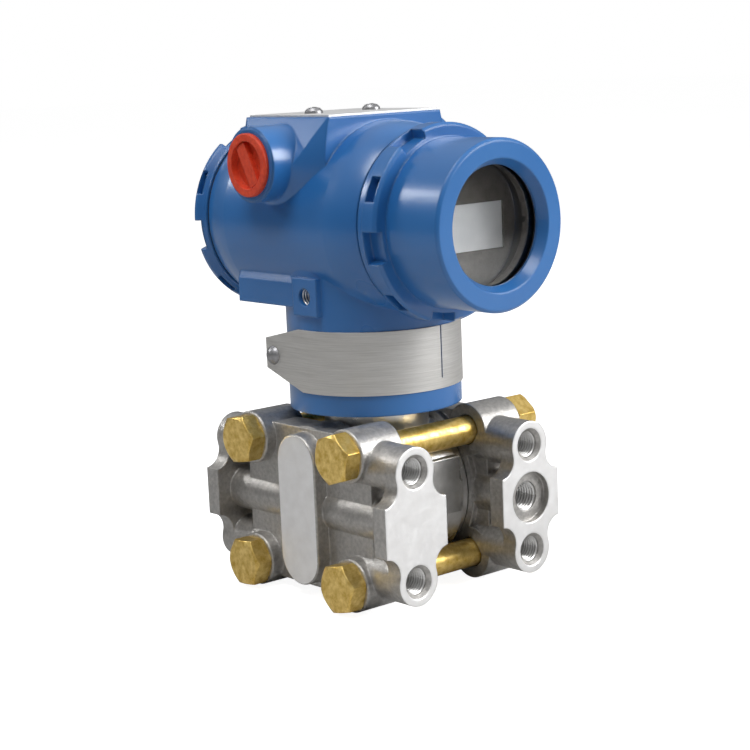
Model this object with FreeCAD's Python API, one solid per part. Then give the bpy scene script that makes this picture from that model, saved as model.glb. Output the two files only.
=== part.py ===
import FreeCAD, Part
import math
import os

# A differential pressure transmitter: a two-flange sensor body below, a turning electronics
# housing with two threaded covers above. Millimetres, +Z up. X runs along the clamp bolts, and
# the sizes are laid out from the cell's middle plane. The saved parts are measured from the
# middle of the high side flange's process plate, on the face that looks along -Y.

# Process interface
face_reach = 54.5            # neck axis to each process face
hole_pitch_x = 59.1
hole_pitch_z = 41.3
fixing_drill_r = 4.95        # 7/16-20 UNF tapping drill
fixing_mouth_r = 6.6
upper_fixing_depth = 17.0
lower_fixing_depth = 16.4
port_recess_r = 9.9
port_recess_depth = 2.8
port_drill_r = 5.7           # 1/4-18 NPT
port_depth = 15.6
passage_r = 3.0

# Flange castings
flange_inner = 21.2          # register face, measured from the neck axis along X
flange_wall_x0 = 23.6
flange_wall_x1 = 36.0
boss_seat_x = 41.0           # spot face under each bolt head and nut
pad_face_x = 42.0
pad_width = 22.4
pad_height = 59.0
wall_half_y = 37.0
wall_half_z = 31.0
ridge_r = 9.0
plate_thickness = 7.0
plate_half_x = 14.9
plate_flank_z = 9.4
lobe_r = 9.2
waist_r = 6.9
register_r = 31.5
chamber_r = 20.5
chamber_depth = 2.4

# Clamp bolts, 7/16-20
bolt_pitch_y = 57.3
bolt_pitch_z = 49.2
bolt_r = 5.55
bolt_clearance = 0.4
boss_r = 10.3
head_af = 17.46
head_height = 7.2
nut_height = 9.6
bolt_tail = 3.2

# Sensor module
cell_r = 31.5
cell_half = 16.3
cell_step_r = 28.4
cell_step_x = 20.9
stem_r = cell_step_x - 0.4
stem_top = 59.0
stem_fit = 0.08
gasket_r = 24.6
gasket_section = 1.3
diaphragm_r = 19.4
diaphragm_thickness = 0.3

# Housing casting
neck_r = 33.7
neck_base = 36.2
barrel_z = 108.0
barrel_offset = 12.65        # barrel centre ahead of the neck axis, toward +Y
barrel_r = 37.6
barrel_end_r = 34.0
barrel_half = 45.4
barrel_flat_half = 30.5
bore_r = 28.0
core_r = 32.6
spigot_r = 30.9
spigot_front = 11.4
spigot_rear = 5.6
wall_y0 = -2.2               # partition between the two chambers, from the neck axis
wall_y1 = 1.6
wire_hole_r = 4.0
neck_hole_r = 5.0
neck_hole_y = -9.6
rail_x = 33.6
rail_z0 = 76.7
rail_z1 = 85.8
rail_brow = 3.2              # slope from the rail's edge back into the barrel
rail_y0 = -9.0
rail_y1 = 41.0
pad_proud = 1.4
pad_side = 14.4
pad_z0 = 74.0
ground_hole_r = 3.3
ground_hole_depth = 9.0
platform_rise = 2.4          # platform face above the barrel
platform_half_x = 28.0
platform_half_y = 25.1
platform_shoulder_x = 36.7
shoulder_drop = 15.1
hub_r = 14.2
hub_drop = 2.5               # hub crest below the platform face
hub_reach = 46.5
conduit_r = 9.1              # 1/2-14 NPT
conduit_depth = 15.5
throat_r = 7.9
adjust_x = 22.0
adjust_y = -7.2
adjust_r = 3.0

# Covers
cover_fit = 0.08
seal_width = 1.1
cover_rim_r = 34.4
rim_band = 12.1
grip_r = 36.8                # outer radius of the ring that a wrench grips
grip_start = 2.6             # its distance from the cover's rim
grip_count = 5
notch_angle = 19.0
notch_phase = 28.0
notch_floor_r = 33.2
pocket_angle = 15.0
pocket_phase = 66.0
meter_r = 31.4
meter_face = 72.9            # window cover front face, from the neck axis
window_r = 21.8
window_flare_r = 24.1
window_lip = 4.6
glass_r = 25.6
glass_thickness = 6.0
cap_thickness = 3.4
cap_depth = 9.4
cap_grip = 5.6               # rim to the end of the wrench ring

# Nameplate and band
plate_x = 54.0
plate_y = 48.0
plate_t = 0.8
screw_pitch = 29.0
band_z0 = 44.25
band_z1 = 68.4
band_t = 0.6
ear_reach = 24.2
ear_screw_y = 20.0
ear_screw_z = 57.0
ear_boss_r = 4.1
slit_angle = 7.3

V = FreeCAD.Vector
X = V(1, 0, 0)
Y = V(0, 1, 0)
Z = V(0, 0, 1)
neck = V(0, face_reach, 0)
barrel = V(0, 0, barrel_z)
barrel_y = face_reach + barrel_offset
platform_top = barrel_z + barrel_r + platform_rise
hub_z = platform_top - hub_drop - hub_r
hub = V(0, barrel_y, hub_z)
fix_x = hole_pitch_x / 2
datum = V(-fix_x, 0, 0)
fix_z = hole_pitch_z / 2
bolt_y = bolt_pitch_y / 2
bolt_z = bolt_pitch_z / 2
rim_front = barrel_y - barrel_half
rim_rear = barrel_y + barrel_half
os.makedirs("parts", exist_ok=True)


def rod(radius, start, axis, length):
    return Part.makeCylinder(radius, length, start, axis)


def block(x0, x1, y0, y1, z0, z1):
    return Part.makeBox(x1 - x0, y1 - y0, z1 - z0, V(x0, y0, z0))


def polygon_face(points):
    return Part.Face(Part.makePolygon(points + points[:1]))


def square_to(axis):
    return V(0, 1, 0) if abs(axis.x) > 0.5 else V(1, 0, 0)


def turned(axis, centre, profile):
    """Solid of revolution from (station, radius) pairs along an axis."""
    radial = square_to(axis)
    face = polygon_face([centre + axis * s + radial * r for s, r in profile])
    solid = face.revolve(centre, axis, 360)
    if solid.Volume < 0:
        solid.reverse()
    return solid


def tube(axis, centre, s0, s1, inner, outer):
    return turned(axis, centre, [(s0, inner), (s0, outer), (s1, outer), (s1, inner)])


def hexagon(af, start, axis, length, turn=0.0):
    radial = square_to(axis)
    other = axis.cross(radial)
    reach = af / math.sqrt(3)
    ring = []
    for k in range(6):
        a = math.radians(60 * k + turn)
        ring.append(start + radial * (reach * math.cos(a)) + other * (reach * math.sin(a)))
    return polygon_face(ring).extrude(axis * length)


def save(name, shapes):
    shape = shapes.copy() if isinstance(shapes, Part.Shape) else Part.makeCompound(shapes)
    shape.translate(-datum)
    shape.exportStep("parts/" + name + ".step")


def fused(shapes):
    return shapes[0].multiFuse(shapes[1:]).removeSplitter()


def waist_centre():
    """Centre of the hollow that runs from the plate's flank corner to its lobe."""
    reach = lobe_r + waist_r
    dx = plate_half_x
    dz = fix_z - plate_flank_z
    span = math.hypot(dx, dz)
    along = (reach * reach - waist_r * waist_r + span * span) / (2 * span)
    off = math.sqrt(max(reach * reach - along * along, 0.01))
    return (dx * along + dz * off) / span, fix_z - (dz * along - dx * off) / span


def end_plate(y0, y1):
    """Process plate: straight flanks, hollow waists and a lobe round each fixing hole."""
    cx, cz = waist_centre()
    body = block(fix_x - plate_half_x, fix_x + plate_half_x, y0, y1, -cz - 1.8, cz + 1.8)
    for sx in (-1, 1):
        for sz in (-1, 1):
            body = body.cut(rod(waist_r, V(fix_x + sx * cx, y0 - 1, sz * cz), Y, y1 - y0 + 2))
    lobes = [rod(lobe_r, V(fix_x, y0, sz * fix_z), Y, y1 - y0) for sz in (-1, 1)]
    return fused([body] + lobes)


def obround_pad():
    r = pad_width / 2
    half = pad_height / 2 - r
    x0 = flange_wall_x1 - 2
    length = pad_face_x - x0
    pad = fused([block(x0, pad_face_x, face_reach - r, face_reach + r, -half, half),
                 rod(r, V(x0, face_reach, half), X, length),
                 rod(r, V(x0, face_reach, -half), X, length)])
    rim = [e for e in pad.Edges if abs(e.BoundBox.XMin - pad_face_x) < 0.01]
    return pad.makeFillet(1.0, rim)


def flange():
    """One flange casting on the +X side, with its port at the -Y end."""
    y0 = face_reach - wall_half_y
    y1 = face_reach + wall_half_y
    wall = block(flange_wall_x0, flange_wall_x1, y0, y1, -wall_half_z, wall_half_z)
    corners = [e for e in wall.Edges if e.BoundBox.XLength > 1]
    solids = [wall.makeFillet(boss_r - 1.0, corners), obround_pad()]
    solids.append(rod(register_r, V(flange_inner, face_reach, 0), X, flange_wall_x1 - flange_inner - 1))
    for sy in (-1, 1):
        for sz in (-1, 1):
            seat = V(flange_inner, face_reach + sy * bolt_y, sz * bolt_z)
            boss = rod(boss_r, seat, X, boss_seat_x - flange_inner)
            rim = [e for e in boss.Edges if abs(e.BoundBox.XMin - boss_seat_x) < 0.01]
            solids.append(boss.makeChamfer(0.5, rim))
    plate = plate_thickness
    solids.append(rod(ridge_r, V(fix_x, plate - 1, 0), Y, 2 * face_reach - 2 * plate + 2))
    for sz in (-1, 1):
        solids.append(rod(lobe_r, V(fix_x, plate - 1, sz * fix_z), Y, wall_half_y / 2))
        solids.append(rod(lobe_r, V(fix_x, 2 * face_reach - plate + 1, sz * fix_z), -Y, wall_half_y / 2))
    solids.append(end_plate(0, plate))
    solids.append(end_plate(2 * face_reach - plate, 2 * face_reach))
    casting = fused(solids)

    cuts = [rod(cell_r + 1, V(0, face_reach, 0), X, flange_inner)]
    for sz, depth in ((-1, lower_fixing_depth), (1, upper_fixing_depth)):
        for start, axis in ((0, Y), (2 * face_reach, -Y)):
            mouth = V(fix_x, start, sz * fix_z)
            flare = fixing_mouth_r - fixing_drill_r
            cuts.append(rod(fixing_drill_r, mouth, axis, depth))
            cuts.append(Part.makeCone(fixing_mouth_r, fixing_drill_r, flare, mouth, axis))
        for sy in (-1, 1):
            at = V(flange_inner - 1, face_reach + sy * bolt_y, sz * bolt_z)
            cuts.append(rod(bolt_r + bolt_clearance, at, X, boss_seat_x - flange_inner + 2))
    cuts.append(rod(port_recess_r, V(fix_x, 0, 0), Y, port_recess_depth))
    cuts.append(rod(port_drill_r, V(fix_x, 0, 0), Y, port_depth))
    cross_y = face_reach - chamber_r + 2 * passage_r
    cuts.append(rod(passage_r, V(fix_x, 0, 0), Y, cross_y))
    cuts.append(rod(passage_r, V(flange_inner, cross_y, 0), X, fix_x - flange_inner))
    cuts.append(rod(chamber_r, V(flange_inner - 1, face_reach, 0), X, chamber_depth + 1))
    groove = gasket_section + 0.05
    cuts.append(tube(X, neck, flange_inner - 1, flange_inner + 1.9, gasket_r - groove, gasket_r + groove))
    return casting.cut(Part.makeCompound(cuts))


low_flange = flange()
high_flange = low_flange.copy()
high_flange.rotate(neck, Z, 180)
save("low_side_flange", low_flange)
save("high_side_flange", high_flange)

# Sensor module: welded cell with a threaded stem, one sealed piece.
cell = turned(X, neck, [(-cell_step_x, 0), (-cell_step_x, cell_step_r), (-cell_half, cell_step_r),
                        (-cell_half, cell_r - 1), (-cell_half + 1, cell_r), (cell_half - 1, cell_r),
                        (cell_half, cell_r - 1), (cell_half, cell_step_r), (cell_step_x, cell_step_r),
                        (cell_step_x, 0)])
stem = turned(Z, neck, [(cell_r - 12, 0), (cell_r - 12, stem_r), (stem_top - 1.5, stem_r),
                        (stem_top, stem_r - 1.5), (stem_top, 0)])
flat = block(-cell_half + 3, cell_half - 3, face_reach - cell_r - 0.6, face_reach - cell_r + 3, -6, 16)
module = fused([cell, stem, flat])
seal_z = stem_top - 10.0
module = module.cut(tube(Z, neck, seal_z, seal_z + 2.6, stem_r - 1.9, stem_r + 1))
for side in (-1, 1):
    seat_x = side * (cell_step_x - diaphragm_thickness - 0.5)
    module = module.cut(rod(diaphragm_r + 0.1, neck + X * seat_x, X * side, 3))
save("sensor_module", module)
save("stem_oring", tube(Z, neck, seal_z + 0.1, seal_z + 2.5, stem_r - 1.85, stem_r))

for side, name in ((-1, "high_side_diaphragm"), (1, "low_side_diaphragm")):
    x0 = side * (cell_step_x - diaphragm_thickness - 0.5)
    waves = []
    for k in range(7):
        waves.append((x0 + side * (0.45 if k % 2 else 0.0), 4 + 2.2 * k))
    front = [(x0, 0)] + waves + [(x0, diaphragm_r)]
    back = [(s + side * diaphragm_thickness, r) for s, r in reversed(front)]
    save(name, turned(X, neck, front + back))

gaskets = []
for side in (-1, 1):
    half = gasket_section
    x0 = side * cell_step_x
    x1 = side * (flange_inner + 1.85)
    gaskets.append(tube(X, neck, x0, x1, gasket_r - half, gasket_r + half))
save("flange_gaskets", gaskets)

# Clamp bolts and nuts
bolts = []
nuts = []
turns = {(-1, -1): 12, (-1, 1): 18, (1, -1): 4, (1, 1): 9}
nut_end = boss_seat_x + nut_height
for (sy, sz), turn in turns.items():
    c = V(0, face_reach + sy * bolt_y, sz * bolt_z)
    reach = head_af / math.sqrt(3)
    head = hexagon(head_af, c - X * boss_seat_x, -X, head_height, turn)
    crown = turned(X, c, [(-boss_seat_x, 0), (-boss_seat_x, reach - 0.6), (-boss_seat_x - 1, reach + 0.2),
                          (-boss_seat_x - head_height + 1.2, reach + 0.2),
                          (-boss_seat_x - head_height, head_af / 2 - 0.5), (-boss_seat_x - head_height, 0)])
    tail = nut_end + bolt_tail
    shank = turned(X, c, [(-boss_seat_x - 1, 0), (-boss_seat_x - 1, bolt_r), (tail - 1, bolt_r),
                          (tail, bolt_r - 1), (tail, 0)])
    bolts.append(fused([head.common(crown), shank]))
    nut = hexagon(head_af, c + X * boss_seat_x, X, nut_height, turn + 20)
    bevel = turned(X, c, [(boss_seat_x, 0), (boss_seat_x, reach - 0.9), (boss_seat_x + 1, reach + 0.2),
                          (nut_end - 1, reach + 0.2), (nut_end, reach - 0.9), (nut_end, 0)])
    nuts.append(nut.common(bevel).cut(rod(bolt_r + 0.05, c, X, tail)))
save("flange_bolts", bolts)
save("flange_nuts", nuts)


# Electronics housing
def barrel_body():
    """Barrel whose ends round in from the full radius to the cover seats."""
    mid = (barrel_flat_half + barrel_half) / 2
    bulge = barrel_r - (barrel_r - barrel_end_r) * 0.30
    pieces = []
    for side in (-1, 1):
        def at(s, r):
            return V(r, barrel_y + side * s, barrel_z)
        arc = Part.Arc(at(barrel_flat_half, barrel_r), at(mid, bulge), at(barrel_half, barrel_end_r))
        lines = [Part.makeLine(at(barrel_half, barrel_end_r), at(barrel_half, 0)),
                 Part.makeLine(at(barrel_half, 0), at(0, 0)),
                 Part.makeLine(at(0, 0), at(0, barrel_r)),
                 Part.makeLine(at(0, barrel_r), at(barrel_flat_half, barrel_r))]
        face = Part.Face(Part.Wire([arc.toShape()] + lines))
        half = face.revolve(barrel, Y, 360)
        if half.Volume < 0:
            half.reverse()
        pieces.append(half)
    return fused(pieces)


def hub_platform():
    """Cross block over both conduit hubs, flaring out of each hub like a trumpet."""
    left = barrel_y - platform_half_y
    right = barrel_y + platform_half_y
    bow = Part.Arc(V(-50, left, hub_z), V(-50, barrel_y, hub_z - platform_half_y), V(-50, right, hub_z))
    sides = Part.makePolygon([V(-50, right, hub_z), V(-50, right, platform_top),
                              V(-50, left, platform_top), V(-50, left, hub_z)])
    arch = Part.Face(Part.Wire([bow.toShape()] + sides.Edges)).extrude(X * 100)
    flares = []
    for side in (-1, 1):
        def at(s, r):
            return V(side * s, barrel_y + r, hub_z)
        x0 = platform_half_x - 1.0
        x1 = platform_shoulder_x + 1.2
        wide = platform_half_y + 6.9
        curve = Part.Arc(at(x0, wide), at((x0 + x1) / 2, (wide + hub_r) / 2 - 1.4), at(x1, hub_r))
        tip = Part.makePolygon([at(x1, hub_r), at(hub_reach - 0.6, hub_r), at(hub_reach, hub_r - 0.6),
                                at(hub_reach, 0), at(0, 0), at(0, wide), at(x0, wide)])
        face = Part.Face(Part.Wire([curve.toShape()] + tip.Edges))
        flare = face.revolve(hub, X, 360)
        if flare.Volume < 0:
            flare.reverse()
        flares.append(flare)
    run = platform_shoulder_x - platform_half_x
    roof = [V(-platform_half_x, 0, platform_top), V(platform_half_x, 0, platform_top),
            V(platform_half_x + 3 * run, 0, platform_top - 3 * shoulder_drop),
            V(-platform_half_x - 3 * run, 0, platform_top - 3 * shoulder_drop)]
    roofed = polygon_face(roof).extrude(Y * (2 * barrel_y))
    shoulders = arch.common(fused(flares)).common(roofed)
    hubs = fused([rod(hub_r, hub - X * (hub_reach - 0.6), X, 2 * hub_reach - 1.2),
                  rod(hub_r - 0.6, hub - X * hub_reach, X, 2 * hub_reach)])
    return fused([shoulders, hubs])


ny = face_reach
post = rod(neck_r, neck + Z * neck_base, Z, barrel_z - neck_base)
post = post.cut(block(-neck_r, neck_r, 0, rim_front, barrel_z - cover_rim_r - 0.6, barrel_z))
outer = [barrel_body(), hub_platform(), post]
brow_z = rail_z1 + rail_brow
brow_x = math.sqrt(barrel_r ** 2 - (barrel_z - brow_z) ** 2) - 0.2
section = [V(side * x, ny + rail_y0, z) for side, x, z in (
    (1, rail_x, rail_z0), (1, rail_x, rail_z1), (1, brow_x, brow_z),
    (-1, brow_x, brow_z), (-1, rail_x, rail_z1), (-1, rail_x, rail_z0))]
outer.append(polygon_face(section).extrude(Y * (rail_y1 - rail_y0)))
boss_mid_y = ny + rail_y0 + pad_side / 2
boss_mid_z = pad_z0 + pad_side / 2
for side in (-1, 1):
    ends = sorted((side * (rail_x + pad_proud), side * (rail_x - 6)))
    outer.append(block(ends[0], ends[1], ny + rail_y0, ny + rail_y0 + pad_side, pad_z0, pad_z0 + pad_side))
tag_seat = neck + V(-neck_r, ear_screw_y, ear_screw_z)
outer.append(rod(ear_boss_r, tag_seat, X, neck_r - math.sqrt(neck_r ** 2 - ear_screw_y ** 2) + 6))
outer.append(rod(spigot_r, barrel + Y * (rim_front - spigot_front), Y, spigot_front + 5))
outer.append(rod(spigot_r, barrel + Y * (rim_rear - 5), Y, spigot_rear + 5))
casting = fused(outer)

front_core = turned(Y, barrel, [(rim_front - spigot_front - 1, 0), (rim_front - spigot_front - 1, bore_r),
                                (rim_front + 1, bore_r), (rim_front + 6, core_r), (ny + wall_y0, core_r),
                                (ny + wall_y0, 0)])
rear_core = turned(Y, barrel, [(ny + wall_y1, 0), (ny + wall_y1, core_r), (rim_rear - 6, core_r),
                               (rim_rear - 1, bore_r), (rim_rear + spigot_rear + 1, bore_r),
                               (rim_rear + spigot_rear + 1, 0)])
cores = [front_core, rear_core]
cores.append(rod(stem_r + stem_fit, neck + Z * (neck_base - 1), Z, stem_top + 1.5 - neck_base + 1))
wire_x = -8.0
wire_z = barrel_z - 14.0
cores.append(rod(neck_hole_r, neck + Y * neck_hole_y + Z * stem_top, Z, barrel_z - stem_top - 10))
cores.append(rod(wire_hole_r, V(wire_x, ny + wall_y0 - 1, wire_z), Y, wall_y1 - wall_y0 + 2))
cores.append(rod(throat_r, hub - X * hub_reach, X, 2 * hub_reach))
for side in (-1, 1):
    cores.append(rod(conduit_r, hub + X * (side * hub_reach), X * -side, conduit_depth))
    cores.append(Part.makeCone(conduit_r + 1.6, conduit_r, 1.6, hub + X * (side * hub_reach), X * -side))
    cores.append(rod(adjust_r, V(side * adjust_x, ny + adjust_y, barrel_z), Z, platform_top - barrel_z + 1))
    cores.append(rod(ground_hole_r, V(side * (rail_x + pad_proud), boss_mid_y, boss_mid_z), X * -side,
                     ground_hole_depth))
for side in (-1, 1):
    cores.append(rod(1.6, V(side * screw_pitch / 2, barrel_y, platform_top - 5.4), Z, 6))
cores.append(rod(1.6, tag_seat, X, 9))
lock_z = (neck_base + band_z0) / 2
cores.append(rod(2.05, neck + Y * (stem_r - 1) + Z * lock_z, Y, neck_r - stem_r + 3))
casting = casting.cut(Part.makeCompound(cores))
save("housing_body", casting)

# Partition feedthrough, lock screw, tag band and its screw
save("wire_feedthrough", fused([
    rod(wire_hole_r - 0.02, V(wire_x, ny + wall_y0 - 1.8, wire_z), Y, wall_y1 - wall_y0 + 1.8),
    rod(wire_hole_r + 1.6, V(wire_x, ny + wall_y0 - 3.4, wire_z), Y, 3.4)]))
lock = rod(2.0, neck + Y * (stem_r + 0.3) + Z * lock_z, Y, neck_r - stem_r - 1.0)
lock = lock.cut(hexagon(2.0, neck + Y * (neck_r - 3.2) + Z * lock_z, Y, 4))
save("lock_screw", lock)


def tag_strap():
    """Open sheet band sprung round the neck, with a flat tapered ear held by one screw."""
    inner = neck_r + 0.05
    ring = tube(Z, neck, band_z0, band_z1, inner, inner + band_t)
    ring = ring.cut(block(-neck_r - 5, -neck_r / 2, ny + 0.2, ny + neck_r + 5, band_z0 - 1, band_z1 + 1))
    slit = block(-0.35, 0.35, ny - inner - 2, ny - inner + 2, band_z0 + 4, band_z1 + 1)
    slit.rotate(neck, Z, slit_angle)
    outline = [(-1.5, band_z0), (2.5, band_z0), (ear_reach, ear_screw_z - 5.1), (ear_reach, ear_screw_z + 6.7),
               (4.0, band_z1), (-1.5, band_z1)]
    ear = polygon_face([V(-inner, ny + y, z) for y, z in outline]).extrude(X * -band_t)
    ear = ear.cut(rod(1.7, tag_seat + X, -X, 4))
    return fused([ring.cut(slit), ear])


save("tag_band", tag_strap())
head_at = tag_seat - X * (0.05 + band_t)
tag_head = Part.makeSphere(4.2, head_at + X * 1.9)
save("tag_screw", fused([tag_head.common(rod(4, head_at, -X, 3)), rod(1.55, tag_seat + X * 7, -X, 7.5 + band_t)]))


def pie(angle, half, r0, r1, y0, y1):
    """Wedge of a ring between two radii, centred at an angle from the top toward -X."""
    ring = []
    for r, a in ((r0, -half), (r1, -half), (r1, half), (r0, half)):
        turn = math.radians(angle + a)
        ring.append(barrel + Y * y0 + V(-r * math.sin(turn), 0, r * math.cos(turn)))
    return polygon_face(ring).extrude(Y * (y1 - y0))


def grip_ring(near, far, wall, pocket_inset):
    """Wrench ring that slopes up from the cover's rim, with open notches and closed pockets."""
    way = 1 if far > near else -1
    slope = grip_r - cover_rim_r
    under = notch_floor_r - 0.5
    ring = turned(Y, barrel, [(near, under), (near, cover_rim_r), (near + way * slope, grip_r),
                              (far - way, grip_r), (far, grip_r - 1.0), (far, under)])
    cuts = []
    notch = sorted((near + way * wall, far + way))
    pocket = sorted((near + way * (wall + 0.3), far - way * pocket_inset))
    for k in range(grip_count):
        turn = k * 360.0 / grip_count
        cuts.append(pie(notch_phase + turn, notch_angle / 2, notch_floor_r, grip_r + 3, *notch))
        cuts.append(pie(pocket_phase + turn, pocket_angle / 2, notch_floor_r, grip_r + 3, *pocket))
    return ring.cut(Part.makeCompound(cuts))


# Window cover, its glass and seals
rim_y = rim_front - seal_width
face_y = ny - meter_face
lip_y = face_y + window_lip
glass_back = lip_y + 1.0 + glass_thickness
inner_r = meter_r - 3.2
band_y = rim_y - rim_band
shell = turned(Y, barrel, [
    (rim_y, spigot_r + cover_fit), (rim_y, cover_rim_r), (rim_y - grip_start - 1, cover_rim_r),
    (rim_y - grip_start - 1, notch_floor_r), (band_y, notch_floor_r), (band_y, meter_r), (face_y + 1.0, meter_r),
    (face_y, meter_r - 1.0), (face_y, window_flare_r), (lip_y - 1.0, window_r), (lip_y, window_r),
    (lip_y, inner_r), (band_y + 0.6, inner_r), (band_y + 0.6, spigot_r + cover_fit)])
save("window_cover", fused([shell, grip_ring(rim_y - grip_start, band_y, 3.0, 1.4)]))
save("glass_gasket", tube(Y, barrel, lip_y, lip_y + 1.0, window_r + 0.4, glass_r))
save("window_glass", turned(Y, barrel, [
    (lip_y + 1.0, 0), (lip_y + 1.0, glass_r - 0.5), (lip_y + 1.5, glass_r), (glass_back, glass_r),
    (glass_back, 0)]))
retainer_back = glass_back + 3.4
retainer = tube(Y, barrel, glass_back, retainer_back, window_r + 0.8, inner_r - 0.05)
for k in range(2):
    slot = block(-inner_r, inner_r, retainer_back - 2, retainer_back + 1, barrel_z - 1.2, barrel_z + 1.2)
    slot.rotate(barrel, Y, 90 * k)
    retainer = retainer.cut(slot)
save("glass_retainer", retainer)
seal_r = (spigot_r + cover_rim_r) / 2


def cover_seal(y0):
    r0 = spigot_r + 0.12
    r1 = barrel_end_r - 0.2
    return turned(Y, barrel, [(y0 + 0.05, r0), (y0 + 0.05, r1 - 0.3), (y0 + 0.35, r1),
                              (y0 + seal_width - 0.35, r1), (y0 + seal_width - 0.05, r1 - 0.3),
                              (y0 + seal_width - 0.05, r0)])


save("window_cover_oring", cover_seal(rim_y))

# Blind cover
back_y = rim_rear + seal_width
end_y = back_y + cap_depth
lid = turned(Y, barrel, [
    (back_y, spigot_r + cover_fit), (back_y, cover_rim_r), (back_y + 1, cover_rim_r), (back_y + 1, notch_floor_r),
    (back_y + cap_grip, notch_floor_r), (end_y - 1.4, meter_r), (end_y, meter_r - 1.6), (end_y, 8),
    (end_y + 0.6, 7.4), (end_y + 0.6, 0),
    (end_y - cap_thickness, 0), (end_y - cap_thickness, spigot_r + cover_fit)])
save("blind_cover", fused([lid, grip_ring(back_y + 0.6, back_y + cap_grip, 1.2, 0.9)]))
save("blind_cover_oring", cover_seal(rim_rear))

# Nameplate over the two adjusting screws
plate = block(-plate_x / 2, plate_x / 2, barrel_y - plate_y / 2, barrel_y + plate_y / 2,
              platform_top, platform_top + plate_t)
for side in (-1, 1):
    plate = plate.cut(rod(1.7, V(side * screw_pitch / 2, barrel_y, platform_top - 1), Z, 3))
save("nameplate", plate)
heads = []
for side in (-1, 1):
    c = V(side * screw_pitch / 2, barrel_y, 0)
    top = platform_top + plate_t
    dome = turned(Z, c, [(top, 0), (top, 3.6), (top + 1.0, 3.4), (top + 2.0, 2.4), (top + 2.6, 0)])
    slot = block(c.x - 4, c.x + 4, c.y - 0.5, c.y + 0.5, top + 1.5, top + 3)
    heads.append(fused([dome.cut(slot), rod(1.55, c + Z * (platform_top - 5), Z, 5 + plate_t + 0.5)]))
save("nameplate_screws", heads)

# Adjusting screws: long slotted spindles that reach the pots on the calibration board
board_y = ny - 10.4
pot_z = barrel_z + 6.0
for side, name in ((-1, "span_screw"), (1, "zero_screw")):
    c = V(side * adjust_x, ny + adjust_y, 0)
    top = platform_top - 1.6
    spindle = fused([rod(adjust_r - 0.06, c + Z * (barrel_z + 16), Z, top - barrel_z - 16),
                     rod(1.4, c + Z * (pot_z + 6.3), Z, barrel_z + 17 - pot_z - 6.3)])
    slot = block(c.x - 4, c.x + 4, c.y - 0.45, c.y + 0.45, top - 1.3, top + 1)
    save(name, spindle.cut(slot))

# Plug in the conduit entry on the -X side
mouth = -hub_reach
plug = turned(X, hub, [(mouth + 14, 0), (mouth + 14, conduit_r - 1.0), (mouth + 2, conduit_r - 0.06),
                       (mouth, conduit_r - 0.06), (mouth, 11.9), (mouth - 1.4, 11.9), (mouth - 1.8, 11.4),
                       (mouth - 1.8, 9.0), (mouth + 1.2, 8.6), (mouth + 1.2, 0)])
grip = block(mouth - 1.2, mouth + 2, -2.6, 2.6, -8.4, 8.4)
grip.rotate(V(0, 0, 0), X, -28)
grip.translate(V(0, hub.y, hub.z))
save("conduit_plug", fused([plug, grip.common(rod(8.5, hub + X * (mouth - 2), X, 8))]))

# Electronics in the front chamber
post_r = 2.6
post_ring = 23.0
meter_back = ny - 36.0
meter_front = ny - 51.0
board_t = 1.6
amp_y = ny - 20.4
post_at = []
for angle in (-30, 90, 210):
    a = math.radians(angle)
    post_at.append((post_ring * math.cos(a), barrel_z + post_ring * math.sin(a)))
posts = []
for x, z in post_at:
    for y0, y1 in ((board_y, ny + wall_y0), (amp_y, board_y - board_t), (meter_back, amp_y - board_t)):
        posts.append(hexagon(2 * post_r, V(x, y0, z), Y, y1 - y0))
save("board_standoffs", posts)


def board(y, parts):
    disc = rod(core_r - 5.6, barrel + Y * (y - board_t), Y, board_t)
    return fused([disc] + parts)


pots = []
for side in (-1, 1):
    cx = side * adjust_x
    pots.append(block(cx - 2.6, cx + 2.6, board_y - 0.2, ny + adjust_y + 3.0, pot_z, pot_z + 6))
chips = [block(-9, 5, board_y - 0.2, board_y + 2.6, barrel_z - 9, barrel_z + 4)]
save("calibration_board", board(board_y, pots + chips))
cans = [rod(4.0, V(-8, amp_y - 0.2, barrel_z + 9), Y, 6.0),
        rod(3.0, V(6, amp_y - 0.2, barrel_z - 14), Y, 5.0),
        block(0, 14, amp_y - 0.2, amp_y + 3.4, barrel_z + 2, barrel_z + 14)]
save("amplifier_board", board(amp_y, cans))

# Meter: round case with a display set behind its bezel
case_r = 27.0
display_x = 20.0
display_z0 = barrel_z - 10.6
display_z1 = barrel_z + 7.0
case = turned(Y, barrel, [(meter_back, 0), (meter_back, case_r - 2), (meter_back - 3, case_r),
                          (meter_front + 1, case_r), (meter_front, case_r - 1), (meter_front, 0)])
case = case.cut(block(-display_x, display_x, meter_front - 1, meter_front + 3, display_z0, display_z1))
save("meter_case", case)
save("display_panel", block(-display_x + 0.1, display_x - 0.1, meter_front + 0.8, meter_front + 3,
                            display_z0 + 0.1, display_z1 - 0.1))

# Terminal block on the partition, below the conduit entries
block_face = ny + 15.0
terminals_z = barrel_z - 4.0
base = rod(core_r - 2.2, barrel + Y * (ny + wall_y1), Y, block_face - ny - wall_y1)
base = base.common(block(-40, 40, 0, 2 * barrel_y, 0, barrel_z + 11))
barrier_x = (-18.0, -6.0, 6.0, 18.0)
fins = [block(x - 1, x + 1, block_face - 1, block_face + 6, terminals_z - 8, terminals_z + 8) for x in barrier_x]
base = base.cut(rod(wire_hole_r + 1.8, V(wire_x, 0, wire_z), Y, block_face - 8))
screw_r = 3.4
terminal_x = (-12.0, 0.0, 12.0)
for x in terminal_x:
    base = base.cut(rod(1.6, V(x, block_face - 7, terminals_z), Y, 8))
for side in (-1, 1):
    base = base.cut(rod(2.0, V(side * 19, 0, barrel_z - 16), Y, 2 * barrel_y))
save("terminal_block", fused([base] + fins))
screws = []
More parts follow.
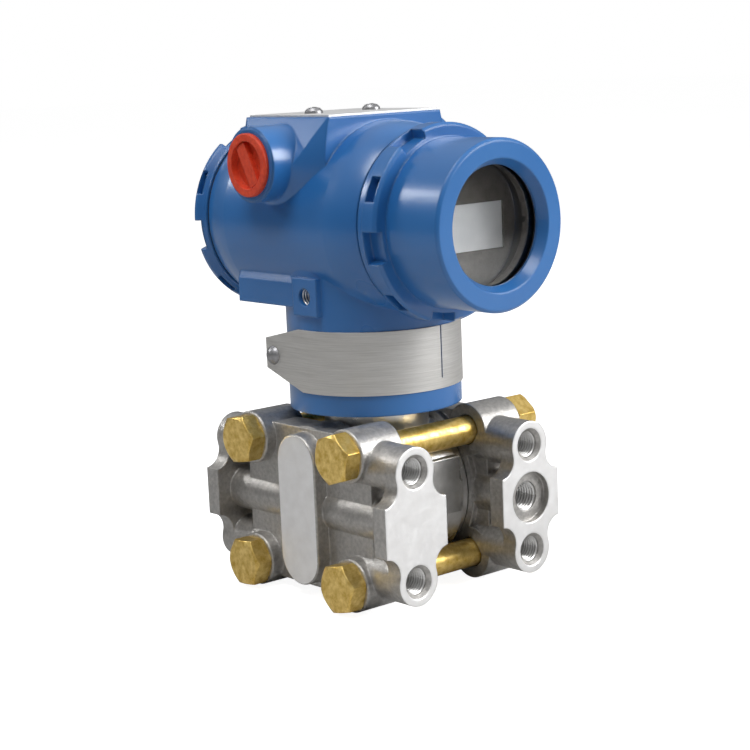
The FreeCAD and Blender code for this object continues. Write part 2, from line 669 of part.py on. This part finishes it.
for x in terminal_x:
    c = V(x, 0, terminals_z)
    head = rod(screw_r, c + Y * block_face, Y, 2.4)
    head = head.cut(block(x - 4, x + 4, block_face + 1.4, block_face + 3, terminals_z - 0.5, terminals_z + 0.5))
    screws.append(fused([head, rod(1.55, c + Y * (block_face - 6.5), Y, 7.5)]))
save("terminal_screws", screws)
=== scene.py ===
import math
import bmesh
import bpy
from mathutils import Matrix, Vector


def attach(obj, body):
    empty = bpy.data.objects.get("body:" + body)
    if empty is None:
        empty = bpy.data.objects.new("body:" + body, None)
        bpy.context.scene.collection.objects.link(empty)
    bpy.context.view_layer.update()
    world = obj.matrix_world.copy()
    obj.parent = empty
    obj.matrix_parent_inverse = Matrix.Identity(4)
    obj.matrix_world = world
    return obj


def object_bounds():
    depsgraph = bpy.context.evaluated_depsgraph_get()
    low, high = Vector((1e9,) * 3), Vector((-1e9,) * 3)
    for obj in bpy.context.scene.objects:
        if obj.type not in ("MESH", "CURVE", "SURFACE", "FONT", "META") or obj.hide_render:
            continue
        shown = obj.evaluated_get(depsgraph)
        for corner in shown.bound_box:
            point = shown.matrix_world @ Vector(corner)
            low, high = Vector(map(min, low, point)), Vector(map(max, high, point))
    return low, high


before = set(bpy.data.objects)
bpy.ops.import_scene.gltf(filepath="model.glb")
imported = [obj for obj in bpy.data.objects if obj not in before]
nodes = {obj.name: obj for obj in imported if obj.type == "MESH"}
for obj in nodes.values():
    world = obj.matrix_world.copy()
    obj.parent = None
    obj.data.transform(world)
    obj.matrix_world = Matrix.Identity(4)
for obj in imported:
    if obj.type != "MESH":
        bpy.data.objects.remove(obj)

cad_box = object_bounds()

# Process flanges: one investment casting in stainless steel, used twice. The cast skin is
# shot-blasted grey, while the process faces, the pad and the bolt seats are machined bright.
neck_x = 0.02955
neck_y = 0.0545
flange_depth = 0.109
pad_face = 0.0419
pad_half_width = 0.0115
skim_depth = 0.00025


def new_finish(name):
    """A new material with its node tree, its main shader and the object's own coordinates."""
    material = bpy.data.materials.new(name)
    material.use_nodes = True
    tree = material.node_tree
    shader = tree.nodes["Principled BSDF"]
    place = tree.nodes.new("ShaderNodeTexCoord").outputs["Object"]
    return material, tree, shader, place


def mottle(tree, place, scale, detail=3.0, roughness=0.55, stretch=None):
    """Uneven patches, stretched along an axis where a tool or a brush ran."""
    if stretch is not None:
        mapping = tree.nodes.new("ShaderNodeMapping")
        mapping.inputs["Scale"].default_value = stretch
        tree.links.new(place, mapping.inputs["Vector"])
        place = mapping.outputs["Vector"]
    noise = tree.nodes.new("ShaderNodeTexNoise")
    noise.inputs["Scale"].default_value = scale
    noise.inputs["Detail"].default_value = detail
    noise.inputs["Roughness"].default_value = roughness
    tree.links.new(place, noise.inputs["Vector"])
    return noise.outputs["Fac"]


def ramp(tree, value, low, high, at=(0.3, 0.7)):
    """A colour between low and high, by a value between the two stops."""
    node = tree.nodes.new("ShaderNodeValToRGB")
    node.color_ramp.elements[0].position = at[0]
    node.color_ramp.elements[1].position = at[1]
    node.color_ramp.elements[0].color = (*low, 1.0)
    node.color_ramp.elements[1].color = (*high, 1.0)
    tree.links.new(value, node.inputs["Fac"])
    return node.outputs["Color"]


def spread(tree, value, low, high, at=(0.3, 0.7)):
    """A number between low and high, by a value between the two stops."""
    node = tree.nodes.new("ShaderNodeMapRange")
    node.inputs["From Min"].default_value = at[0]
    node.inputs["From Max"].default_value = at[1]
    node.inputs["To Min"].default_value = low
    node.inputs["To Max"].default_value = high
    tree.links.new(value, node.inputs["Value"])
    return node.outputs["Result"]


def worked(tree, shader, edge, heights):
    """Rounded edges of the given radius, with each (height, strength, distance) on top."""
    rounding = tree.nodes.new("ShaderNodeBevel")
    rounding.samples = 6
    rounding.inputs["Radius"].default_value = edge
    normal = rounding.outputs["Normal"]
    for height, strength, distance in heights:
        bump = tree.nodes.new("ShaderNodeBump")
        bump.inputs["Strength"].default_value = strength
        bump.inputs["Distance"].default_value = distance
        tree.links.new(height, bump.inputs["Height"])
        tree.links.new(normal, bump.inputs["Normal"])
        normal = bump.outputs["Normal"]
    tree.links.new(normal, shader.inputs["Normal"])


def reckon(tree, operation, a, b=None, c=None):
    """One step of arithmetic on values or numbers."""
    node = tree.nodes.new("ShaderNodeMath")
    node.operation = operation
    for k, value in enumerate((a, b, c)):
        if value is None:
            continue
        if isinstance(value, (int, float)):
            node.inputs[k].default_value = value
        else:
            tree.links.new(value, node.inputs[k])
    return node.outputs["Value"]


def blend_colour(tree, factor, a, b):
    """Colour a where the factor is 0 and colour b where it is 1."""
    node = tree.nodes.new("ShaderNodeMix")
    node.data_type = "RGBA"
    tree.links.new(factor, node.inputs["Factor"])
    tree.links.new(a, node.inputs["A"])
    tree.links.new(b, node.inputs["B"])
    return node.outputs["Result"]


def wear(node_names, material):
    """Gives the named CAD nodes one finish."""
    for name in node_names:
        data = nodes[name].data
        data.materials.clear()
        data.materials.append(material)


cast, tree, shader, place = new_finish("shot_blasted_casting")
axes = tree.nodes.new("ShaderNodeSeparateXYZ")
tree.links.new(place, axes.inputs["Vector"])
end_reach = reckon(tree, "ABSOLUTE", reckon(tree, "SUBTRACT", axes.outputs["Y"], neck_y))
side_reach = reckon(tree, "ABSOLUTE", reckon(tree, "SUBTRACT", axes.outputs["X"], neck_x))
on_end = reckon(tree, "GREATER_THAN", end_reach, neck_y - skim_depth)
on_pad = reckon(tree, "GREATER_THAN", side_reach, pad_face)
near_pad = reckon(tree, "LESS_THAN", end_reach, pad_half_width)
ground = reckon(tree, "MAXIMUM", on_end, reckon(tree, "MULTIPLY", on_pad, near_pad))
skin = ramp(tree, mottle(tree, place, 620, 3, 0.6), (0.37, 0.36, 0.345), (0.50, 0.485, 0.465), (0.34, 0.66))
bright = ramp(tree, mottle(tree, place, 160, 4), (0.86, 0.85, 0.84), (0.95, 0.945, 0.94))
tree.links.new(blend_colour(tree, ground, skin, bright), shader.inputs["Base Color"])
shader.inputs["Metallic"].default_value = 0.85
skin_rough = spread(tree, mottle(tree, place, 420, 4), 0.34, 0.52)
tree.links.new(reckon(tree, "MULTIPLY_ADD", ground, -0.02, skin_rough), shader.inputs["Roughness"])
grain = mottle(tree, place, 1500, 3)
cast_grain = reckon(tree, "MULTIPLY", grain, reckon(tree, "SUBTRACT", 1.0, ground))
worked(tree, shader, 0.0009, [(mottle(tree, place, 110, 2), 0.16, 0.0006), (cast_grain, 0.5, 0.00025)])
wear(("high_side_flange", "low_side_flange"), cast)

# Screw threads in the process flanges: 7/16-20 UNF in the fixing holes and tapered pipe
# thread in the ports, cut after the faces were machined, so they are bright.
fix_z = 0.02065
fixing_r = 0.00495
fixing_mouth = 0.0022
fixing_run = 0.0135
fixing_ridge = 0.0006
unf_pitch = 0.00127
port_r = 0.0057
port_mouth = 0.0036
port_run = 0.0115
port_ridge = 0.0007
port_pitch = 0.00141
root_half = 0.42
crest_half = 0.06
root_sink = 0.05
steps_per_turn = 28


def thread(name, mouth, axis, radius, depth, pitch, height, outside=False):
    """A single-start thread ridge, spun down a hole or along a rod."""
    axis = Vector(axis).normalized()
    side = axis.orthogonal().normalized()
    start = Vector(mouth)
    tip = radius + height if outside else radius - height
    root = radius - root_sink * height if outside else radius + root_sink * height
    bm = bmesh.new()
    ring = [bm.verts.new(start + side * root - axis * (pitch * root_half)),
            bm.verts.new(start + side * tip - axis * (pitch * crest_half)),
            bm.verts.new(start + side * tip + axis * (pitch * crest_half)),
            bm.verts.new(start + side * root + axis * (pitch * root_half))]
    edges = [bm.edges.new((ring[k], ring[(k + 1) % 4])) for k in range(4)]
    turns = depth / pitch
    steps = int(turns * steps_per_turn)
    bmesh.ops.spin(bm, geom=ring + edges, cent=start, axis=axis, dvec=-axis * (depth / steps),
                   angle=2 * math.pi * turns, steps=steps)
    bmesh.ops.holes_fill(bm, edges=[e for e in bm.edges if e.is_boundary])
    bmesh.ops.recalc_face_normals(bm, faces=bm.faces)
    mesh = bpy.data.meshes.new(name)
    bm.to_mesh(mesh)
    bm.free()
    piece = bpy.data.objects.new(name, mesh)
    bpy.context.scene.collection.objects.link(piece)
    return piece


turned_steel, tree, shader, place = new_finish("turned_stainless")
tone = ramp(tree, mottle(tree, place, 300, 4), (0.66, 0.655, 0.64), (0.80, 0.795, 0.785))
tree.links.new(tone, shader.inputs["Base Color"])
shader.inputs["Metallic"].default_value = 0.95
tree.links.new(spread(tree, mottle(tree, place, 60, 2), 0.26, 0.40), shader.inputs["Roughness"])
worked(tree, shader, 0.0004, [(mottle(tree, place, 250, 2, 0.5, (6.0, 1.0, 1.0)), 0.08, 0.0002)])

for side in (-1, 1):
    for y, out in ((0.0, -1), (flange_depth, 1)):
        for z in (-fix_z, fix_z):
            name = "fixing_thread_%d%d%d" % (side > 0, out > 0, z > 0)
            piece = thread(name, (neck_x * (1 + side), y - out * fixing_mouth, z), (0, out, 0),
                           fixing_r, fixing_run, unf_pitch, fixing_ridge)
            piece.data.materials.append(turned_steel)
            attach(piece, "base")
    y, out = (flange_depth, 1) if side < 0 else (0.0, -1)
    piece = thread("port_thread_%d" % (side > 0), (neck_x * (1 + side), y - out * port_mouth, 0.0),
                   (0, out, 0), port_r, port_run, port_pitch, port_ridge)
    piece.data.materials.append(turned_steel)
    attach(piece, "base")

# Sensor module: stainless cell, turned and welded, with its stem up into the housing neck
# and a corrugated isolating diaphragm on each side.
wear(("sensor_module", "high_side_diaphragm", "low_side_diaphragm", "terminal_screws",
      "zero_screw", "span_screw", "lock_screw", "wire_feedthrough"), turned_steel)

# Clamp bolts and nuts: 7/16-20 steel in yellow dichromate zinc, iridescent and a little
# uneven, with the thread showing past the nuts.
gold, tree, shader, place = new_finish("yellow_zinc_plating")
patch = mottle(tree, place, 330, 5, 0.65)
tint = ramp(tree, patch, (0.60, 0.38, 0.07), (0.94, 0.70, 0.25), (0.34, 0.66))
tree.links.new(tint, shader.inputs["Base Color"])
shader.inputs["Metallic"].default_value = 0.82
tree.links.new(spread(tree, patch, 0.42, 0.28), shader.inputs["Roughness"])
worked(tree, shader, 0.0005, [(mottle(tree, place, 420, 5), 0.3, 0.0004)])
wear(("flange_bolts", "flange_nuts"), gold)
bolt_y = 0.02865
bolt_z = 0.0246
bolt_tip = 0.0532
bolt_r = 0.00545
bolt_run = 0.0025
bolt_ridge = 0.00012
for sy in (-1, 1):
    for sz in (-1, 1):
        piece = thread("bolt_thread_%d%d" % (sy > 0, sz > 0),
                       (neck_x + bolt_tip, neck_y + sy * bolt_y, sz * bolt_z),
                       (1, 0, 0), bolt_r, bolt_run, unf_pitch, bolt_ridge, outside=True)
        piece.data.materials.append(gold)
        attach(piece, "base")

# Housing casting and both covers: low-copper aluminium die castings in blue polyurethane
# paint, glossy with a fine orange peel, and left bare inside the chambers, where the bare metal is coloured
# a dark brown-grey as painted shade.
paint, tree, shader, place = new_finish("blue_polyurethane")
barrel_z = 0.108
meter_bore = 0.030
glass_front = -0.0135
rear_wall = 0.1195
drift = mottle(tree, place, 22, 2)
coated = ramp(tree, drift, (0.022, 0.135, 0.39), (0.028, 0.16, 0.44))
# Bare metal inside the chambers, darkened to a brown-grey that is painted shade of the closed chambers, not
# the metal's own tone.
bare_in_painted_shade = ramp(tree, drift, (0.10, 0.09, 0.08), (0.15, 0.135, 0.12))
axes = tree.nodes.new("ShaderNodeSeparateXYZ")
tree.links.new(place, axes.inputs["Vector"])
off_side = reckon(tree, "SUBTRACT", axes.outputs["X"], neck_x)
off_height = reckon(tree, "SUBTRACT", axes.outputs["Z"], barrel_z)
off_axis = reckon(tree, "SQRT", reckon(tree, "MULTIPLY_ADD", off_side, off_side,
                                       reckon(tree, "MULTIPLY", off_height, off_height)))
between_ends = reckon(tree, "MULTIPLY", reckon(tree, "GREATER_THAN", axes.outputs["Y"], glass_front),
                      reckon(tree, "LESS_THAN", axes.outputs["Y"], rear_wall))
inside = reckon(tree, "MULTIPLY", reckon(tree, "LESS_THAN", off_axis, meter_bore), between_ends)
# The dark brown-grey painted shade goes on every surface inside the chambers; the blue paint goes
# everywhere else.
tree.links.new(blend_colour(tree, inside, coated, bare_in_painted_shade), shader.inputs["Base Color"])
tree.links.new(spread(tree, drift, 0.27, 0.33), shader.inputs["Roughness"])
shader.inputs["Specular IOR Level"].default_value = 0.5
shader.inputs["Coat Weight"].default_value = 0.3
shader.inputs["Coat Roughness"].default_value = 0.16
worked(tree, shader, 0.0011, [(mottle(tree, place, 70, 2), 0.06, 0.0004)])
wear(("housing_body", "window_cover", "blind_cover"), paint)

# Threads cut in the housing: 1/2-14 taper pipe thread in the open conduit entry and a metric
# thread in each ground screw hole, bare aluminium under the paint.
bare_alloy, tree, shader, place = new_finish("cut_aluminium")
tree.links.new(ramp(tree, mottle(tree, place, 350, 4), (0.52, 0.53, 0.55), (0.68, 0.69, 0.70)),
               shader.inputs["Base Color"])
shader.inputs["Metallic"].default_value = 0.9
tree.links.new(spread(tree, mottle(tree, place, 500, 3), 0.3, 0.45), shader.inputs["Roughness"])
worked(tree, shader, 0.0003, [(mottle(tree, place, 900, 2), 0.12, 0.0002)])
hub_face = neck_x + 0.0465
conduit_y = neck_y + 0.01265
conduit_z = 0.1313
conduit_mouth = 0.0021
conduit_r = 0.0091
conduit_run = 0.0125
conduit_pitch = 0.001814
conduit_ridge = 0.0007
piece = thread("conduit_thread", (hub_face - conduit_mouth, conduit_y, conduit_z), (1, 0, 0),
               conduit_r, conduit_run, conduit_pitch, conduit_ridge)
piece.data.materials.append(bare_alloy)
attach(piece, "housing")
pad_reach = 0.035
ground_y = 0.0527
ground_z = 0.0812
ground_mouth = 0.0014
ground_r = 0.0033
ground_run = 0.0070
ground_pitch = 0.00125
ground_ridge = 0.0004
for side in (-1, 1):
    mouth = (neck_x + side * (pad_reach - ground_mouth), ground_y, ground_z)
    piece = thread("ground_thread_%d" % (side > 0), mouth, (side, 0, 0),
                   ground_r, ground_run, ground_pitch, ground_ridge)
    piece.data.materials.append(bare_alloy)
    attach(piece, "housing")

# Seals: black nitrile rings pinched between each cover and its seat, and the same rubber on
# the module's stem, behind the glass and between the flanges and the cell.
rubber, tree, shader, place = new_finish("black_nitrile")
tree.links.new(ramp(tree, mottle(tree, place, 600, 3), (0.008, 0.008, 0.009), (0.02, 0.02, 0.021)),
               shader.inputs["Base Color"])
tree.links.new(spread(tree, mottle(tree, place, 800, 2), 0.5, 0.7), shader.inputs["Roughness"])
worked(tree, shader, 0.0002, [(mottle(tree, place, 1200, 2), 0.1, 0.0001)])
wear(("window_cover_oring", "blind_cover_oring", "stem_oring", "flange_gaskets", "glass_gasket"), rubber)

# Tag band: 0.6 mm stainless strip, brushed along its length, sprung round the neck and held
# by one screw through its pointed ear. It is left blank.
brushed, tree, shader, place = new_finish("brushed_strip")
streak = mottle(tree, place, 60, 6, 0.7, (1.0, 1.0, 34.0))
tree.links.new(ramp(tree, streak, (0.52, 0.51, 0.49), (0.70, 0.69, 0.67)), shader.inputs["Base Color"])
shader.inputs["Metallic"].default_value = 0.9
tree.links.new(spread(tree, streak, 0.34, 0.5), shader.inputs["Roughness"])
worked(tree, shader, 0.0002, [(streak, 0.12, 0.0002)])
wear(("tag_band",), brushed)

# Nameplate: punched from brushed and anodised aluminium sheet, screwed flat on the housing's
# platform over the adjusting spindles and left blank.
silver, tree, shader, place = new_finish("anodised_sheet")
brush_lines = mottle(tree, place, 50, 5, 0.7, (1.0, 30.0, 1.0))
tree.links.new(ramp(tree, brush_lines, (0.72, 0.72, 0.72), (0.84, 0.84, 0.84)), shader.inputs["Base Color"])
shader.inputs["Metallic"].default_value = 0.6
tree.links.new(spread(tree, mottle(tree, place, 300, 3), 0.36, 0.5), shader.inputs["Roughness"])
worked(tree, shader, 0.0002, [(mottle(tree, place, 900, 2), 0.05, 0.0001)])
wear(("nameplate",), silver)

# Small screws: two dome heads that hold the nameplate and the one in the band's ear, zinc
# plated steel that has dulled to grey.
dull_zinc, tree, shader, place = new_finish("dull_zinc")
tree.links.new(ramp(tree, mottle(tree, place, 400, 4), (0.22, 0.22, 0.23), (0.40, 0.40, 0.41)),
               shader.inputs["Base Color"])
shader.inputs["Metallic"].default_value = 0.85
tree.links.new(spread(tree, mottle(tree, place, 300, 2), 0.36, 0.48), shader.inputs["Roughness"])
worked(tree, shader, 0.0003, [(mottle(tree, place, 500, 3), 0.15, 0.0002)])
wear(("nameplate_screws", "tag_screw"), dull_zinc)

# Conduit plug: moulded red polyethylene thread protector with a bar to grip it by, pushed into the
# entry on the near side until a cable gland takes its place.
red, tree, shader, place = new_finish("red_polyethylene")
tree.links.new(ramp(tree, mottle(tree, place, 500, 5, 0.7), (0.56, 0.032, 0.008), (0.78, 0.075, 0.02)),
               shader.inputs["Base Color"])
tree.links.new(spread(tree, mottle(tree, place, 700, 3), 0.45, 0.65), shader.inputs["Roughness"])
shader.inputs["Subsurface Weight"].default_value = 0.08
shader.inputs["Subsurface Radius"].default_value = (0.002, 0.0006, 0.0003)
worked(tree, shader, 0.0005, [(mottle(tree, place, 900, 4), 0.35, 0.0003)])
wear(("conduit_plug",), red)

# Window glass: clear tempered disc, ground round its edge, held against its seal inside the
# window cover by a threaded ring.
pane, tree, shader, place = new_finish("tempered_glass")
shader.inputs["Base Color"].default_value = (0.93, 0.95, 0.95, 1.0)
shader.inputs["Transmission Weight"].default_value = 1.0
shader.inputs["IOR"].default_value = 1.45
tree.links.new(spread(tree, mottle(tree, place, 40, 3), 0.0, 0.03), shader.inputs["Roughness"])
wear(("window_glass",), pane)

# Meter case: dark moulding that carries the meter. The terminal block and the ring that
# holds the glass are moulded in the same compound.
moulded, tree, shader, place = new_finish("dark_moulding")
tree.links.new(ramp(tree, mottle(tree, place, 400, 3), (0.115, 0.097, 0.082), (0.165, 0.143, 0.124)),
               shader.inputs["Base Color"])
tree.links.new(spread(tree, mottle(tree, place, 600, 3), 0.4, 0.55), shader.inputs["Roughness"])
worked(tree, shader, 0.0004, [(mottle(tree, place, 1500, 2), 0.15, 0.0001)])
wear(("meter_case", "terminal_block", "glass_retainer"), moulded)

# Display: pale liquid crystal panel with its segments off, set behind the bezel of the
# meter case.
panel, tree, shader, place = new_finish("liquid_crystal_panel")
tree.links.new(ramp(tree, mottle(tree, place, 120, 3), (0.86, 0.85, 0.86), (0.96, 0.94, 0.95)),
               shader.inputs["Base Color"])
shader.inputs["Roughness"].default_value = 0.3
worked(tree, shader, 0.0002, [(mottle(tree, place, 700, 2), 0.03, 0.0001)])
wear(("display_panel",), panel)

# Boards: green glass and epoxy laminate, stacked behind the meter on threaded posts in the
# same yellow zinc as the bolts.
board, tree, shader, place = new_finish("green_laminate")
tree.links.new(ramp(tree, mottle(tree, place, 300, 4), (0.012, 0.07, 0.03), (0.02, 0.11, 0.05)),
               shader.inputs["Base Color"])
tree.links.new(spread(tree, mottle(tree, place, 500, 3), 0.3, 0.5), shader.inputs["Roughness"])
worked(tree, shader, 0.0002, [(mottle(tree, place, 800, 2), 0.1, 0.0001)])
wear(("amplifier_board", "calibration_board"), board)
wear(("board_standoffs",), gold)

# Studio: white floor and surroundings as the camera, the metal and the glass see them, a
# large key lamp from the front right, one overhead and a strip behind on the left.
floor_z = cad_box[0][2]
floor_half = 8.0
floor_glow = 0.92
room_light = 0.12
bm = bmesh.new()
bmesh.ops.create_grid(bm, x_segments=1, y_segments=1, size=floor_half,
                      matrix=Matrix.Translation((0, 0, floor_z)))
mesh = bpy.data.meshes.new("studio_floor")
bm.to_mesh(mesh)
bm.free()
floor = bpy.data.objects.new("studio_floor", mesh)
bpy.context.scene.collection.objects.link(floor)
sweep, tree, shader, place = new_finish("white_sweep")
tree.links.new(ramp(tree, mottle(tree, place, 3, 2), (0.62, 0.62, 0.62), (0.64, 0.64, 0.64)),
               shader.inputs["Base Color"])
shader.inputs["Roughness"].default_value = 0.9
shader.inputs["Specular IOR Level"].default_value = 0.0
shader.inputs["Emission Color"].default_value = (1.0, 1.0, 1.0, 1.0)
path = tree.nodes.new("ShaderNodeLightPath")
tree.links.new(reckon(tree, "MULTIPLY", path.outputs["Is Camera Ray"], floor_glow),
               shader.inputs["Emission Strength"])
mesh.materials.append(sweep)

world = bpy.data.worlds.new("studio_surroundings")
bpy.context.scene.world = world
world.use_nodes = True
sky = world.node_tree
path = sky.nodes.new("ShaderNodeLightPath")
heading = sky.nodes.new("ShaderNodeTexCoord")
height = sky.nodes.new("ShaderNodeSeparateXYZ")
sky.links.new(heading.outputs["Generated"], height.inputs["Vector"])
mirrored = spread(sky, height.outputs["Z"], 0.05, 0.72, (0.10, 0.85))
plain = reckon(sky, "MAXIMUM", path.outputs["Is Camera Ray"], path.outputs["Is Transmission Ray"])
shown = reckon(sky, "MAXIMUM", plain, reckon(sky, "MULTIPLY", path.outputs["Is Glossy Ray"], mirrored))
sky.links.new(reckon(sky, "MAXIMUM", shown, room_light), sky.nodes["Background"].inputs["Strength"])
sky.nodes["Background"].inputs["Color"].default_value = (1.0, 1.0, 1.0, 1.0)

lamp_target_z = 0.06
target = Vector((neck_x, neck_y, lamp_target_z))
for name, from_target, size, power in (("key", (0.70, -0.95, 0.55), 0.6, 15.5),
                                       ("top", (-0.45, -0.10, 1.15), 0.6, 9.5),
                                       ("back_strip", (-0.585, 0.94, 0.60), 0.22, 2.2)):
    stand = target + Vector(from_target)
    lamp = bpy.data.lights.new(name, "AREA")
    lamp.shape = "SQUARE"
    lamp.size = size
    lamp.energy = power
    lamp_object = bpy.data.objects.new(name, lamp)
    lamp_object.matrix_world = (Matrix.Translation(stand)
                                @ (target - stand).to_track_quat("-Z", "Y").to_matrix().to_4x4())
    bpy.context.scene.collection.objects.link(lamp_object)

# Camera: a long lens a little above the instrument, from the front left, as fitted to the
# photograph.
eye_x = neck_x - 0.46074
eye_y = neck_y - 0.54045
eye_z = 0.17052
focal_length = 88.29
azimuth = math.radians(-40.44)
elevation = math.radians(9.92)
roll = math.radians(-2.42)
back = Vector((math.sin(azimuth) * math.cos(elevation), -math.cos(azimuth) * math.cos(elevation),
               math.sin(elevation)))
right = Vector((math.cos(azimuth), math.sin(azimuth), 0.0))
up = back.cross(right)
across = right * math.cos(roll) + up * math.sin(roll)
upward = up * math.cos(roll) - right * math.sin(roll)
camera_data = bpy.data.cameras.new("camera")
camera_data.sensor_width = 36.0
camera_data.lens = focal_length
camera_data.clip_start = 0.01
camera = bpy.data.objects.new("camera", camera_data)
turn = Matrix((across, upward, back)).transposed().to_4x4()
camera.matrix_world = Matrix.Translation((eye_x, eye_y, eye_z)) @ turn
bpy.context.scene.collection.objects.link(camera)
bpy.context.scene.camera = camera
bpy.context.scene.view_settings.view_transform = "Standard"
